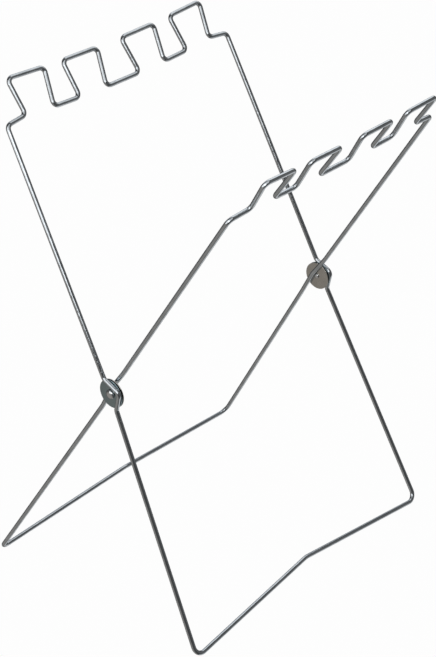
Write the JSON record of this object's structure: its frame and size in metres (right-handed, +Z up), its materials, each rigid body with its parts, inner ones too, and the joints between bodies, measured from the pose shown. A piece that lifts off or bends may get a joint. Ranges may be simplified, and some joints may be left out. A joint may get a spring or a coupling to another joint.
{
  "type": "photo album stand",
  "caption": "Folding X-shaped stand of bent chrome wire frames riveted at disc hinges, with notched top bars that carry a photo album hung between them.",
  "frame": {"origin": "on the floor under the middle of the stand", "axes": "+Z up, +X along the hinge axis, +Y towards the side where the outer frame's notched bar leans"},
  "size_m": [0.3718, 0.3568, 0.5513],
  "materials": {
    "chrome_wire": "bright chrome plate on drawn steel wire",
    "plated_disc": "smooth plated stamping, slightly satin",
    "washer": "plain plated washer",
    "rivet": "bright plated rivet"
  },
  "bodies": {
    "outer_frame": {"outer_frame_wire": "chrome_wire", "left_outer_disc": "plated_disc", "right_outer_disc": "plated_disc", "left_rivet": "rivet", "right_rivet": "rivet"},
    "inner_frame": {"inner_frame_wire": "chrome_wire", "left_inner_disc": "plated_disc", "right_inner_disc": "plated_disc", "left_spacer_washer": "washer", "right_spacer_washer": "washer"}
  },
  "joints": [
    {"name": "fold_hinge", "type": "hinge", "parent": "outer_frame", "child": "inner_frame", "pos_m": [0, 0.00392, 0.25776], "axis": [1, 0, 0], "range_deg": [-56, 114]}
  ]
}
